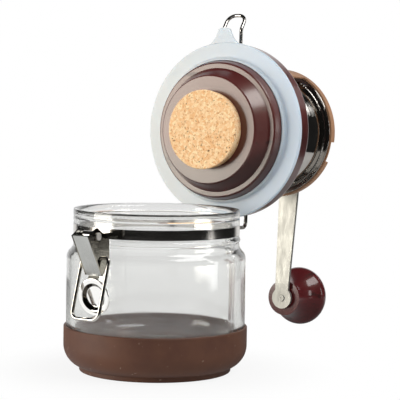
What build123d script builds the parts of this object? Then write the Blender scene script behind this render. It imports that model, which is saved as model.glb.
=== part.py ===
from build123d import *
import math
import os

os.makedirs("parts", exist_ok=True)

# Hand crank coffee grinder: a clip-top glass jar whose hinged wooden lid carries the mill.
# Millimetres, +Z up, origin at the centre of the base. The latch is toward -Y and the hinge toward +Y.
# The lid is modelled open, as it stands at rest. Its own directions are across (X), back toward the
# hinge, and up along the mill's axis, measured from the gasket's lower face.

# Glass jar
jar_radius = 52.5
jar_wall = 5.2
jar_floor = 12.0
heel_radius = 12.0
inner_heel_radius = 9.0
side_height = 51.0
shoulder_height = 9.0
collar_radius = 48.6
collar_height = 4.6
bead_bulge = 0.6
bead_height = 3.2
bead_offset = 0.5
neck_radius = 48.1
rim_radius = 48.7
rim_height = 8.4
rim_step_height = 3.6
rim_groove = 0.5
mouth_radius = 45.3
lip_radius = 3.0
rim_rounding = 0.35

# Silicone base sleeve
sleeve_wall = 1.4
sleeve_floor = 3.5
sleeve_height = 26.6
sleeve_rounding = 0.6
sleeve_fit = 0.05
foot_radius = 44.6
foot_height = 3.0

# Steel band round the neck
band_height = 5.7
band_thickness = 0.6
band_fit = 0.05
band_gap = 0.35

# Brackets on the band
saddle_thickness = 1.2
saddle_width = 15.0
saddle_margin = 0.3
web_thickness = 2.4
knuckle_wall = 1.5
running_fit = 0.05
fixed_fit = 0.03

# Latch lever, in distances out from the jar's axis and up from the floor
lever_width = 11.8
lever_sheet = 0.9
pivot_reach = 66.2
pivot_rise = 0.2
lever_pin_radius = 1.3
pin_head_radius = 2.2
pin_head_height = 0.7
knuckle_side_gap = 0.3
lever_top_reach = 8.7
lever_top_rise = 0.4
lever_web_length = 26.2
lever_web_lean = 30.0
cheek_crest_reach = 0.8
cheek_crest_rise = 4.9
cheek_back_reach = 10.7
cheek_back_drop = 2.5
cheek_rounding = 2.0
eye_inset = 6.2
eye_drop = 12.3
eye_margin = 4.6
tongue_width = 7.0
tongue_thickness = 1.2
pad_radius = 10.5
pad_thickness = 1.2
pad_inset = 5.2
pad_drop = 34.3
pad_lean = 6.0
pad_rounding = 0.5
dish_radius = 5.9
dish_mouth = 7.6
dish_depth = 2.1
dish_bend = 0.6

# Wire loop of the latch
loop_wire = 1.1
loop_width = 18.2
loop_length = 35.1
loop_lean = 17.0
loop_eye_bend = 2.4
loop_corner_bend = 4.2
loop_end_inset = 0.5

# Lid hinge
hinge_gap = 3.6
hinge_drop = 12.5
lid_angle = 92.0
hinge_wire_radius = 1.15
hinge_wire_width = 28.6
hinge_wire_standoff = 2.0
hinge_knuckle_length = 15.0
hinge_wire_bend = 3.2
hinge_curl_height = 4.7

# Lid gasket: a flat ring with a collar that enters the jar's mouth
gasket_width = 10.0
gasket_thickness = 2.5
gasket_seat_gap = 0.2
gasket_bore_gap = 0.3
gasket_rounding = 0.8
collar_gap = 0.3
collar_wall = 1.3
collar_taper = 0.7
collar_depth = 3.0
collar_rounding = 0.3
collar_root_rounding = 1.6
tab_offset = -1.8
tab_length = 9.0
tab_half_width = 4.3
tab_flare = 7.5
tab_corner = 3.4
tab_thickness = 1.8
tab_taper = 0.1

# Wooden lid
flange_inset = 0.6
flange_thickness = 11.5
flange_rounding = 3.5
plug_depth = 3.0
plug_taper = 1.6
plug_ring_width = 3.4
plug_ring_depth = 8.2
plug_ring_rounding = 1.2
cone_run = 5.0
boss_depth = 17.7
boss_rounding = 1.2
wire_hole_depth = 10.0
wire_height = 7.5

# Latch hook on the lid
hook_wire = 1.1
hook_width = 12.8
hook_flat_length = 9.1
hook_length = 18.1
hook_rise = 6.0
hook_crown_bend = 5.4
hook_leg_bend = 4.0

# Cork stopper
cork_radius = 24.4
cork_inner_radius = 22.6
cork_proud = 7.1
cork_depth = 7.4
cork_fit = 0.1
cork_rounding = 0.8

# Burrs
housing_screw_gap = 2.0
housing_fit = 0.1
housing_floor = 1.6
housing_wall = 5.0
housing_lip = 1.6
chute_wall = 4.8
housing_ledge = 4.3
outer_burr_fit = 0.05
exit_wall = 2.7
throat_wall = 4.8
entry_wall = 3.5
outer_burr_grind_height = 2.4
outer_burr_flare_height = 5.5
grind_gap = 0.8
inner_burr_top_radius = 7.0
inner_burr_height = 12.0
inner_burr_drop = 3.0
burr_grooves = 10
burr_groove_width = 2.0
burr_groove_depth = 1.6
burr_bore_fit = 0.03

# Hopper
hopper_radius = 37.2
hopper_height = 51.2
hopper_sheet = 0.5
hopper_lip = 3.8
hopper_lip_bend = 0.6
lip_roll = 0.5
throat_inset = 0.5
hopper_corner = 3.0

# Hopper cover: a plate that plugs the mouth, and the ring round it
plate_inset = 1.2
plate_thickness = 4.9
spigot_depth = 4.0
spigot_wall = 1.6
cover_hole_gap = 1.4
fill_inner = 12.0
fill_margin = 1.95
fill_half_angle = 50.0
ring_height = 5.7
ring_wall = 0.9
ring_rounding = 1.2
ring_tab_length = 16.0
ring_tab_half_angle = 30.0
cover_fit = 0.15
notch_start = 7.0
notch_end = 26.0
notch_floor = 0.8

# Bearings of the drive shaft
spider_margin = 0.2
spider_thickness = 1.5
spider_ring_inset = 4.5
spider_arms = 3
spider_arm_width = 5.0
spider_arm_overlap = 1.0
spider_hub_radius = 7.0
spider_hub_height = 5.6
bush_wall = 1.8
bush_flange = 1.4
bush_flange_height = 0.9
bridge_width = 16.0
bridge_thickness = 1.4
bridge_tail = 6.0
bridge_inset = 5.0
bridge_gap = 0.1
screw_inset = 3.5
screw_count = 3
screw_radius = 1.5
screw_head_radius = 2.9
screw_head_height = 1.7
screw_length = 8.0

# Drive shaft, spring and grind adjuster
shaft_radius = 3.0
shaft_collar_radius = 4.2
shaft_tail = 6.8
spring_radius = 5.2
spring_wall = 1.2
spring_gap = 0.2
adjuster_radius = 9.0
adjuster_height = 5.4
adjuster_gap = 0.3
adjuster_lobes = 6
adjuster_lobe_radius = 2.4

# Crank
crank_clearance = 17.7
crank_drop = 6.5
arm_length = 110.6
arm_thickness = 2.2
arm_hub_radius = 10.0
arm_hub_flat = 12.0
arm_root_width = 16.4
arm_tip_width = 9.3
arm_eye_radius = 7.1
arm_eye_flat = 10.0
arm_fit = 0.05
drive_washer_radius = 7.5
drive_washer_thickness = 1.2
crank_nut_radius = 6.2
crank_nut_height = 6.5
crank_nut_cap = 1.5
crank_nut_rounding = 1.4

# Crank knob
knob_radius = 19.5
knob_girth_height = 21.9
knob_face_radius = 11.8
knob_rim_height = 1.2
knob_shoulder_rounding = 6.5
knob_shoulder_angle = 40.0
knob_back_rounding = 8.0
knob_back_angle = 55.0
knob_gap = 0.2
knob_bush_wall = 1.0
knob_cap_radius = 5.4
knob_cap_thickness = 2.0
bolt_radius = 2.6
rivet_radius = 1.7
rivet_head_radius = 2.3
rivet_head_height = 0.6
rivet_head_rounding = 0.3
rivet_dimple_radius = 0.5
rivet_dimple_depth = 0.4
bolt_end_radius = 4.4
bolt_end_height = 1.8
bolt_end_gap = 0.4
knob_washer_radius = 6.5
knob_washer_thickness = 0.9

# Heights up the jar
base_z = sleeve_floor + sleeve_fit
heel_z = base_z + heel_radius
side_z = heel_z + side_height
shoulder_z = side_z + shoulder_height
bead_z = shoulder_z + bead_offset
groove_z = shoulder_z + collar_height
band_z = groove_z + band_gap
groove_top_z = band_z + band_height + band_gap
rim_z = groove_top_z + rim_height
floor_top_z = base_z + jar_floor
band_middle_z = band_z + band_height / 2
band_outer = neck_radius + band_fit + band_thickness

# Radii of the lid, from the jar's mouth outward and inward
collar_outer = mouth_radius - collar_gap
gasket_bore = collar_outer - collar_wall
gasket_radius = collar_outer + gasket_width
tab_reach = gasket_radius + tab_length
flange_radius = gasket_radius - flange_inset
plug_radius = gasket_bore - gasket_bore_gap
plug_ring_radius = plug_radius - plug_taper
cone_radius = plug_ring_radius - plug_ring_width
boss_radius = cone_radius - cone_run
hook_flat_reach = flange_radius + hook_flat_length
hook_reach = flange_radius + hook_length
hinge_reach = flange_radius + hinge_gap

# Radii of the mill, from the hopper inward
lip_outer = hopper_radius + hopper_lip
plate_radius = lip_outer - plate_inset
spigot_radius = hopper_radius - hopper_sheet - cover_fit
fill_outer = spigot_radius - spigot_wall - fill_margin
spider_radius = hopper_radius - hopper_corner - spider_margin
screw_circle_radius = spider_radius - screw_inset
spider_ring_inner = screw_circle_radius - spider_ring_inset
housing_radius = screw_circle_radius - screw_radius - housing_screw_gap
chute_radius = housing_radius - chute_wall
outer_burr_radius = housing_radius - housing_wall
housing_mouth = outer_burr_radius - housing_lip
hopper_throat = outer_burr_radius - throat_inset
outer_burr_exit = outer_burr_radius - exit_wall
outer_burr_throat = outer_burr_radius - throat_wall
outer_burr_entry = outer_burr_radius - entry_wall
inner_burr_radius = outer_burr_exit - grind_gap

# Hinge and the lid's frame
hinge_z = rim_z - hinge_drop
lid_sine = math.sin(math.radians(lid_angle))
lid_cosine = math.cos(math.radians(lid_angle))
lid_up = Vector(0, lid_sine, lid_cosine)
lid_back = Vector(0, lid_cosine, -lid_sine)
hinge_lift = hinge_drop + gasket_seat_gap
lid_origin = Vector(0, hinge_reach, hinge_z) - lid_back * hinge_reach + lid_up * hinge_lift
lid_plane = Plane(origin=lid_origin, x_dir=(1, 0, 0), z_dir=lid_up)
lid_section = Plane(origin=lid_origin, x_dir=(1, 0, 0), z_dir=-lid_back)
lid_side = Plane(origin=lid_origin, x_dir=lid_back, z_dir=(1, 0, 0))
lid_axis = Axis(lid_origin, lid_up)

# Heights up the mill's axis
flange_low = gasket_thickness
flange_top = flange_low + flange_thickness
ledge_low = -housing_ledge
cork_seat = -boss_depth + cork_depth
hopper_floor_top = flange_top + hopper_sheet
hopper_top = flange_top + hopper_height
cover_low = hopper_top + hopper_sheet
cover_top = cover_low + ring_height
spider_top = hopper_floor_top + spider_thickness
spider_hub_top = hopper_floor_top + spider_hub_height
bridge_top = hopper_top - bridge_inset
bridge_low = bridge_top - bridge_thickness
crank_low = cover_top + crank_clearance
arm_end_low = crank_low - crank_drop
burr_low = -inner_burr_drop
burr_top = burr_low + inner_burr_height
adjuster_top = burr_low - adjuster_gap
adjuster_low = adjuster_top - adjuster_height
shaft_low = burr_low - shaft_tail
bush_radius = shaft_radius + running_fit + bush_wall

# Latch frame: out from the jar's axis toward -Y, and up
latch_side = Plane(origin=(0, 0, 0), x_dir=(0, -1, 0), z_dir=(-1, 0, 0))
hinge_side = Plane(origin=(0, 0, 0), x_dir=(0, 1, 0), z_dir=(1, 0, 0))
pivot_z = band_middle_z + pivot_rise
eye_reach = pivot_reach - eye_inset
eye_z = pivot_z - eye_drop
pad_reach = pivot_reach - pad_inset
pad_z = pivot_z - pad_drop

# The glass jar: heel, straight side, shoulder, bead, neck groove and rim
with BuildPart() as glass_jar:
    with BuildSketch(Plane.XZ):
        with BuildLine():
            bottom = Line((0, base_z), (jar_radius - heel_radius, base_z))
            heel = TangentArc(bottom @ 1, (jar_radius, heel_z), tangent=(1, 0))
            side = Line(heel @ 1, (jar_radius, side_z))
            middle = ((jar_radius + collar_radius) / 2, (side_z + shoulder_z) / 2)
            shoulder = TangentArc(side @ 1, middle, tangent=(0, 1))
            collar = TangentArc(shoulder @ 1, (collar_radius, shoulder_z), tangent=shoulder % 1)
            below_bead = Line(collar @ 1, (collar_radius, bead_z))
            bead = ThreePointArc(
                below_bead @ 1,
                (collar_radius + bead_bulge, bead_z + bead_height / 2),
                (collar_radius, bead_z + bead_height),
            )
            step_z = groove_top_z + rim_step_height
            neck = Polyline(
                bead @ 1,
                (collar_radius, groove_z),
                (neck_radius, groove_z),
                (neck_radius, groove_top_z),
                (rim_radius, groove_top_z),
                (rim_radius, step_z - rim_groove),
                (rim_radius - rim_groove, step_z),
                (rim_radius, step_z + rim_groove),
                (rim_radius, rim_z),
                (mouth_radius + lip_radius, rim_z),
            )
            lip = TangentArc(neck @ 1, (mouth_radius, rim_z - lip_radius), tangent=(-1, 0))
            throat = Line(lip @ 1, (mouth_radius, shoulder_z))
            inner_radius = jar_radius - jar_wall
            inner_middle = ((mouth_radius + inner_radius) / 2, (side_z + shoulder_z) / 2)
            inner_collar = TangentArc(throat @ 1, inner_middle, tangent=(0, -1))
            inner_shoulder = TangentArc(
                inner_collar @ 1, (inner_radius, side_z), tangent=inner_collar % 1
            )
            inner_side = Line(inner_shoulder @ 1, (inner_radius, floor_top_z + inner_heel_radius))
            inner_heel = TangentArc(
                inner_side @ 1, (inner_radius - inner_heel_radius, floor_top_z), tangent=(0, -1)
            )
            Polyline(inner_heel @ 1, (0, floor_top_z), (0, base_z))
        make_face()
    revolve(axis=Axis.Z)
    fillet(glass_jar.edges().group_by(Axis.Z)[-1].sort_by(SortBy.RADIUS)[-1], rim_rounding)
glass_jar.part.label = "glass_jar"
export_step(glass_jar.part, "parts/glass_jar.step")

# The silicone sleeve that the jar stands in, with a stepped foot
with BuildPart() as silicone_base:
    with BuildSketch(Plane.XZ):
        with BuildLine():
            heel_x = jar_radius - heel_radius
            outer_heel = heel_radius + sleeve_fit + sleeve_wall
            foot_run = math.sqrt(outer_heel**2 - (heel_z - foot_height) ** 2)
            sleeve_outer = heel_x + outer_heel
            foot = Polyline(
                (0, 0), (foot_radius, 0), (foot_radius, foot_height), (heel_x + foot_run, foot_height)
            )
            curve = RadiusArc(foot @ 1, (sleeve_outer, heel_z), -outer_heel)
            wall = Polyline(
                curve @ 1,
                (sleeve_outer, sleeve_height),
                (sleeve_outer - sleeve_wall, sleeve_height),
                (sleeve_outer - sleeve_wall, heel_z),
            )
            seat = TangentArc(wall @ 1, (heel_x, sleeve_floor), tangent=(0, -1))
            Polyline(seat @ 1, (0, sleeve_floor), (0, 0))
        make_face()
    revolve(axis=Axis.Z)
    fillet(silicone_base.edges().group_by(Axis.Z)[0], sleeve_rounding)
    fillet(silicone_base.edges().group_by(Axis.Z)[-1].sort_by(SortBy.RADIUS)[-1], sleeve_rounding)
silicone_base.part.label = "silicone_base"
export_step(silicone_base.part, "parts/silicone_base.step")

# The steel band that holds the latch and the hinge to the neck
with BuildPart() as neck_band:
    with BuildSketch(Plane.XY.offset(band_z)):
        Circle(band_outer)
        Circle(neck_radius + band_fit, mode=Mode.SUBTRACT)
    extrude(amount=band_height)
neck_band.part.label = "neck_band"
export_step(neck_band.part, "parts/neck_band.step")

# The latch bracket: a saddle on the band, a web and the knuckle of the lever's pin
knuckle_radius = lever_pin_radius + running_fit + knuckle_wall
knuckle_half = lever_width / 2 - lever_sheet - knuckle_side_gap
saddle_outer = band_outer + saddle_thickness
with BuildPart() as latch_bracket:
    with BuildSketch(Plane.XY.offset(band_z + saddle_margin)):
        Circle(saddle_outer)
        Circle(band_outer, mode=Mode.SUBTRACT)
        with Locations((0, -band_outer)):
            Rectangle(saddle_width, band_outer, mode=Mode.INTERSECT)
    extrude(amount=band_height - 2 * saddle_margin)
    with BuildSketch(latch_side):
        with Locations(((band_outer + saddle_thickness / 2 + pivot_reach) / 2, pivot_z)):
            Rectangle(pivot_reach - band_outer - saddle_thickness / 2, web_thickness)
        with Locations((pivot_reach, pivot_z)):
            Circle(knuckle_radius)
    extrude(amount=knuckle_half, both=True)
    with BuildSketch(latch_side):
        with Locations((pivot_reach, pivot_z)):
            Circle(lever_pin_radius + running_fit)
    extrude(amount=lever_width, both=True, mode=Mode.SUBTRACT)
latch_bracket.part.label = "latch_bracket"
export_step(latch_bracket.part, "parts/latch_bracket.step")

# The latch lever: a channel with two cheeks, a tongue and a round thumb pad, dished at its middle
lean_sine = math.sin(math.radians(lever_web_lean))
lean_cosine = math.cos(math.radians(lever_web_lean))
web_top = (pivot_reach + lever_top_reach, pivot_z + lever_top_rise)
web_foot = (web_top[0] - lever_web_length * lean_sine, web_top[1] - lever_web_length * lean_cosine)
sheet_in = (-lever_sheet * lean_cosine, lever_sheet * lean_sine)
pad_sine = math.sin(math.radians(pad_lean))
pad_cosine = math.cos(math.radians(pad_lean))
pad_section = Plane(
    origin=(0, -pad_reach, pad_z), x_dir=(1, 0, 0), z_dir=(0, pad_sine, -pad_cosine)
)
tongue_reach = (dish_mouth + pad_radius) / 2
tongue_back = (pad_reach + tongue_reach * pad_sine, pad_z + tongue_reach * pad_cosine)
tongue_front = (
    tongue_back[0] + tongue_thickness * pad_cosine,
    tongue_back[1] - tongue_thickness * pad_sine,
)
cheek_back = pivot_reach - cheek_back_reach
cheek_back_z = pivot_z - cheek_back_drop
cheek_outline = [
    web_top,
    (pivot_reach + cheek_crest_reach, pivot_z + cheek_crest_rise),
    (cheek_back, cheek_back_z),
    (eye_reach - eye_margin, eye_z - eye_margin),
    web_foot,
]
cheek_bends = [0, cheek_rounding, cheek_rounding, cheek_rounding, 0]
with BuildPart() as latch_lever:
    with BuildSketch(latch_side):
        with BuildLine():
            Polyline(
                web_top,
                web_foot,
                (web_foot[0] + sheet_in[0], web_foot[1] + sheet_in[1]),
                (web_top[0] + sheet_in[0], web_top[1] + sheet_in[1]),
                close=True,
            )
        make_face()
    extrude(amount=lever_width / 2, both=True)
    with BuildSketch(latch_side.offset(lever_width / 2 - lever_sheet), latch_side.offset(-lever_width / 2)):
        with BuildLine():
            FilletPolyline(*cheek_outline, radius=cheek_bends, close=True)
        make_face()
        with Locations((pivot_reach, pivot_z)):
            Circle(lever_pin_radius + fixed_fit, mode=Mode.SUBTRACT)
        with Locations((eye_reach, eye_z)):
            Circle(loop_wire + running_fit, mode=Mode.SUBTRACT)
    extrude(amount=lever_sheet)
    with BuildSketch(latch_side):
        with BuildLine():
            Polyline(
                web_foot,
                tongue_front,
                tongue_back,
                (web_foot[0] + sheet_in[0], web_foot[1] + sheet_in[1]),
                close=True,
            )
        make_face()
    extrude(amount=tongue_width / 2, both=True)
    with BuildSketch(pad_section):
        with BuildLine():
            FilletPolyline(
                (0, pad_thickness - dish_depth),
                (dish_radius, pad_thickness - dish_depth),
                (dish_mouth, pad_thickness),
                (pad_radius, pad_thickness),
                (pad_radius, 0),
                (dish_mouth, 0),
                (dish_radius, -dish_depth),
                (0, -dish_depth),
                radius=[0, dish_bend, dish_bend, pad_rounding, pad_rounding, dish_bend, dish_bend, 0],
                close=True,
            )
        make_face()
    revolve(axis=Axis(pad_section.origin, pad_section.y_dir))
latch_lever.part.label = "latch_lever"
export_step(latch_lever.part, "parts/latch_lever.step")

# The riveted pin that the lever turns on
with BuildPart() as lever_pin:
    with BuildSketch(latch_side):
        with Locations((pivot_reach, pivot_z)):
            Circle(lever_pin_radius)
    extrude(amount=lever_width / 2 + pin_head_height, both=True)
    near_head = latch_side.offset(-lever_width / 2 - pin_head_height)
    with BuildSketch(latch_side.offset(lever_width / 2), near_head):
        with Locations((pivot_reach, pivot_z)):
            Circle(pin_head_radius)
    extrude(amount=pin_head_height)
lever_pin.part.label = "lever_pin"
export_step(lever_pin.part, "parts/lever_pin.step")

# The wire loop that hangs from the lever and catches the lid's hook
loop_half = loop_width / 2
loop_end = lever_width / 2 - lever_sheet - loop_end_inset
bar_y = -eye_reach - loop_length * math.sin(math.radians(loop_lean))
bar_z = eye_z - loop_length * math.cos(math.radians(loop_lean))
with BuildPart() as latch_loop:
    with BuildLine() as loop_path:
        FilletPolyline(
            (loop_end, -eye_reach, eye_z),
            (loop_half, -eye_reach, eye_z),
            (loop_half, bar_y, bar_z),
            (-loop_half, bar_y, bar_z),
            (-loop_half, -eye_reach, eye_z),
            (-loop_end, -eye_reach, eye_z),
            radius=[loop_eye_bend, loop_corner_bend, loop_corner_bend, loop_eye_bend],
        )
    with BuildSketch(Plane(origin=loop_path.line @ 0, z_dir=loop_path.line % 0)):
        Circle(loop_wire)
    sweep(path=loop_path.line)
latch_loop.part.label = "latch_loop"
export_step(latch_loop.part, "parts/latch_loop.step")

# The hinge bracket: a saddle on the band, a web and the knuckle of the lid's wire
hinge_knuckle = hinge_wire_radius + running_fit + knuckle_wall
with BuildPart() as hinge_bracket:
    with BuildSketch(Plane.XY.offset(band_z + saddle_margin)):
        Circle(saddle_outer)
        Circle(band_outer, mode=Mode.SUBTRACT)
        with Locations((0, band_outer)):
            Rectangle(saddle_width, band_outer, mode=Mode.INTERSECT)
    extrude(amount=band_height - 2 * saddle_margin)
    with BuildSketch(hinge_side):
        with Locations(((band_outer + saddle_thickness / 2 + hinge_reach) / 2, hinge_z)):
            Rectangle(hinge_reach - band_outer - saddle_thickness / 2, web_thickness)
        with Locations((hinge_reach, hinge_z)):
            Circle(hinge_knuckle)
    extrude(amount=hinge_knuckle_length / 2, both=True)
    with BuildSketch(hinge_side):
        with Locations((hinge_reach, hinge_z)):
            Circle(hinge_wire_radius + running_fit)
    extrude(amount=hinge_knuckle_length, both=True, mode=Mode.SUBTRACT)
hinge_bracket.part.label = "hinge_bracket"
export_step(hinge_bracket.part, "parts/hinge_bracket.step")

# The wooden lid: flange, stepped plug and boss, bored for the cork and the burrs
hook_holes = [(x * hook_width / 2, wire_height) for x in (-1, 1)]
hinge_holes = [(x * hinge_wire_width / 2, wire_height) for x in (-1, 1)]
screw_reach = screw_length - hopper_sheet - spider_thickness
with BuildPart() as wooden_lid:
    with BuildSketch(lid_section):
        with BuildLine():
            cork_slope = (cork_radius - cork_inner_radius) / (cork_proud + cork_depth)
            cork_mouth = cork_radius - cork_proud * cork_slope + cork_fit
            FilletPolyline(
                (cork_mouth, -boss_depth),
                (boss_radius, -boss_depth),
                (cone_radius, -plug_ring_depth),
                (plug_ring_radius, -plug_ring_depth),
                (plug_radius, -plug_depth),
                (plug_radius, flange_low),
                (flange_radius, flange_low),
                (flange_radius, flange_top),
                (housing_radius + housing_fit, flange_top),
                (housing_radius + housing_fit, ledge_low),
                (chute_radius, ledge_low),
                (chute_radius, cork_seat),
                (cork_inner_radius + cork_fit, cork_seat),
                radius=[0, boss_rounding, 0, plug_ring_rounding, 0, 0, 0, flange_rounding, 0, 0, 0, 0, 0],
                close=True,
            )
        make_face()
    revolve(axis=lid_axis)
    with BuildSketch(Plane(lid_origin - lid_back * flange_radius, x_dir=(1, 0, 0), z_dir=-lid_back)):
        with Locations(*hook_holes):
            Circle(hook_wire + fixed_fit)
    extrude(amount=-wire_hole_depth, mode=Mode.SUBTRACT)
    with BuildSketch(Plane(lid_origin + lid_back * flange_radius, x_dir=(1, 0, 0), z_dir=-lid_back)):
        with Locations(*hinge_holes):
            Circle(hinge_wire_radius + fixed_fit)
    extrude(amount=wire_hole_depth, mode=Mode.SUBTRACT)
    with BuildSketch(lid_plane.offset(flange_top)):
        with PolarLocations(screw_circle_radius, screw_count):
            Circle(screw_radius + fixed_fit)
    extrude(amount=-screw_reach - screw_radius, mode=Mode.SUBTRACT)
wooden_lid.part.label = "wooden_lid"
export_step(wooden_lid.part, "parts/wooden_lid.step")

# The silicone gasket under the flange, with its pull tab beside the hook
tab_root_radius = gasket_radius - gasket_rounding
tab_left = tab_offset - tab_half_width
tab_right = tab_offset + tab_half_width
tab_left_root = tab_left - tab_flare
tab_right_root = tab_right + tab_flare
with BuildPart() as lid_gasket:
    with BuildSketch(lid_section):
        with BuildLine():
            FilletPolyline(
                (gasket_bore, -collar_depth),
                (collar_outer - collar_taper, -collar_depth),
                (collar_outer, 0),
                (gasket_radius, 0),
                (gasket_radius, gasket_thickness),
                (gasket_bore, gasket_thickness),
                radius=[0, collar_rounding, collar_root_rounding, gasket_rounding, gasket_rounding, 0],
                close=True,
            )
        make_face()
    revolve(axis=lid_axis)
    with BuildSketch(lid_plane.offset((gasket_thickness - tab_thickness) / 2)):
        with BuildLine():
            left_root = (tab_left_root, -math.sqrt(tab_root_radius**2 - tab_left_root**2))
            right_root = (tab_right_root, -math.sqrt(tab_root_radius**2 - tab_right_root**2))
            tip = Line((tab_left, -tab_reach), (tab_right, -tab_reach))
            right_side = TangentArc(tip @ 1, right_root, tangent=(tab_taper, 1))
            left_side = TangentArc(tip @ 0, left_root, tangent=(-tab_taper, 1))
            Line(right_side @ 1, left_side @ 1)
        make_face()
    extrude(amount=tab_thickness)
    tab_edges = lid_gasket.edges().filter_by(lid_axis).sort_by(Axis(lid_origin, lid_back))
    fillet(tab_edges[:2], tab_corner)
lid_gasket.part.label = "lid_gasket"
export_step(lid_gasket.part, "parts/lid_gasket.step")

# The wire hook that the latch loop catches
with BuildPart() as latch_hook:
    with BuildLine(lid_plane) as hook_path:
        root = -flange_radius + wire_hole_depth
        hook_half = hook_width / 2
        FilletPolyline(
            (hook_half, root, wire_height),
            (hook_half, -hook_flat_reach, wire_height),
            (hook_half, -hook_reach, wire_height + hook_rise),
            (-hook_half, -hook_reach, wire_height + hook_rise),
            (-hook_half, -hook_flat_reach, wire_height),
            (-hook_half, root, wire_height),
            radius=[hook_leg_bend, hook_crown_bend, hook_crown_bend, hook_leg_bend],
        )
    with BuildSketch(Plane(origin=hook_path.line @ 0, z_dir=hook_path.line % 0)):
        Circle(hook_wire)
    sweep(path=hook_path.line)
latch_hook.part.label = "latch_hook"
export_step(latch_hook.part, "parts/latch_hook.step")

# The wire that carries the lid and turns in the hinge bracket's knuckle
with BuildPart() as hinge_wire:
    with BuildLine(lid_plane) as hinge_path:
        arm = hinge_wire_width / 2
        arm_back = hinge_reach + hinge_wire_standoff
        inner_end = flange_radius - wire_hole_depth
        FilletPolyline(
            (arm, inner_end, wire_height),
            (arm, arm_back, wire_height),
            (arm, arm_back, hinge_curl_height - hinge_lift),
            (arm, hinge_reach, -hinge_lift),
            (-arm, hinge_reach, -hinge_lift),
            (-arm, arm_back, hinge_curl_height - hinge_lift),
            (-arm, arm_back, wire_height),
            (-arm, inner_end, wire_height),
            radius=hinge_wire_bend,
        )
    with BuildSketch(Plane(origin=hinge_path.line @ 0, z_dir=hinge_path.line % 0)):
        Circle(hinge_wire_radius)
    sweep(path=hinge_path.line)
hinge_wire.part.label = "hinge_wire"
export_step(hinge_wire.part, "parts/hinge_wire.step")

# The steel bean hopper: a deep cup with an open floor and an outward lip, rolled at its edge
roll_middle = lip_outer - lip_roll
roll_start = math.sqrt(lip_roll**2 - (lip_roll - hopper_sheet) ** 2)
with BuildPart() as bean_hopper:
    with BuildSketch(lid_section):
        with BuildLine():
            outside = FilletPolyline(
                (hopper_throat, flange_top),
                (hopper_radius, flange_top),
                (hopper_radius, hopper_top),
                (roll_middle - roll_start, hopper_top),
                radius=[hopper_corner, hopper_lip_bend],
            )
            roll = ThreePointArc(
                outside @ 1,
                (roll_middle + lip_roll * math.sqrt(0.5), cover_low - lip_roll * (1 + math.sqrt(0.5))),
                (roll_middle, cover_low),
            )
            inside = FilletPolyline(
                roll @ 1,
                (hopper_radius - hopper_sheet, cover_low),
                (hopper_radius - hopper_sheet, hopper_floor_top),
                (hopper_throat, hopper_floor_top),
                radius=[0, hopper_corner - hopper_sheet],
            )
            Line(inside @ 1, outside @ 0)
        make_face()
    revolve(axis=lid_axis)
    with BuildSketch(lid_plane.offset(flange_top)):
        with PolarLocations(screw_circle_radius, screw_count):
            Circle(screw_radius + fixed_fit)
    extrude(amount=hopper_sheet, mode=Mode.SUBTRACT)
bean_hopper.part.label = "bean_hopper"
export_step(bean_hopper.part, "parts/bean_hopper.step")

wedge_steps = 4


def wedge(start, end, reach):
    """Corners of a wedge from the axis, with angles from +X toward the hook."""
    angles = [math.radians(start + (end - start) * step / wedge_steps) for step in range(wedge_steps + 1)]
    return [(0, 0)] + [(reach * math.cos(a), -reach * math.sin(a)) for a in angles]


# The plate over the hopper's mouth, with a spigot inside the cup and a filling hole
with BuildPart() as cover_plate:
    with BuildSketch(lid_section):
        with BuildLine():
            shaft_hole = shaft_collar_radius + cover_hole_gap
            Polyline(
                (shaft_hole, cover_low),
                (spigot_radius - spigot_wall, cover_low),
                (spigot_radius - spigot_wall, cover_low - spigot_depth),
                (spigot_radius, cover_low - spigot_depth),
                (spigot_radius, cover_low),
                (plate_radius, cover_low),
                (plate_radius, cover_low + plate_thickness),
                (shaft_hole, cover_low + plate_thickness),
                close=True,
            )
        make_face()
    revolve(axis=lid_axis)
    with BuildSketch(lid_plane.offset(cover_low)):
        Circle(fill_outer)
        Circle(fill_inner, mode=Mode.SUBTRACT)
        with BuildLine():
            fill = wedge(90 - fill_half_angle, 90 + fill_half_angle, 2 * plate_radius)
            Polyline(*fill, close=True)
        make_face(mode=Mode.INTERSECT)
    extrude(amount=plate_thickness, mode=Mode.SUBTRACT)
cover_plate.part.label = "cover_plate"
export_step(cover_plate.part, "parts/cover_plate.step")

# The brown ring round the plate, with two notches and a lift tab that hangs over the hopper's lip
tab_inner = lip_outer + cover_fit
ring_radius = tab_inner + ring_wall
with BuildPart() as cover_ring:
    with BuildSketch(lid_plane.offset(cover_low)):
        Circle(ring_radius)
        Circle(plate_radius + fixed_fit, mode=Mode.SUBTRACT)
    extrude(amount=ring_height)
    ring_edges = cover_ring.edges().filter_by(GeomType.CIRCLE).group_by(SortBy.RADIUS)[-1]
    fillet(ring_edges.sort_by(lid_axis)[-1], ring_rounding)
    with BuildSketch(lid_plane.offset(cover_low + notch_floor)):
        with BuildLine():
            Polyline(*wedge(-notch_end, -notch_start, 2 * ring_radius), close=True)
        make_face()
        mirror(about=Plane.YZ)
    extrude(amount=ring_height, mode=Mode.SUBTRACT)
    with BuildSketch(lid_plane.offset(cover_low - ring_tab_length)):
        Circle(ring_radius)
        Circle(tab_inner, mode=Mode.SUBTRACT)
        with BuildLine():
            tab = wedge(90 - ring_tab_half_angle, 90 + ring_tab_half_angle, 2 * ring_radius)
            Polyline(*tab, close=True)
        make_face(mode=Mode.INTERSECT)
    extrude(amount=ring_tab_length)
cover_ring.part.label = "cover_ring"
export_step(cover_ring.part, "parts/cover_ring.step")

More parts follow.
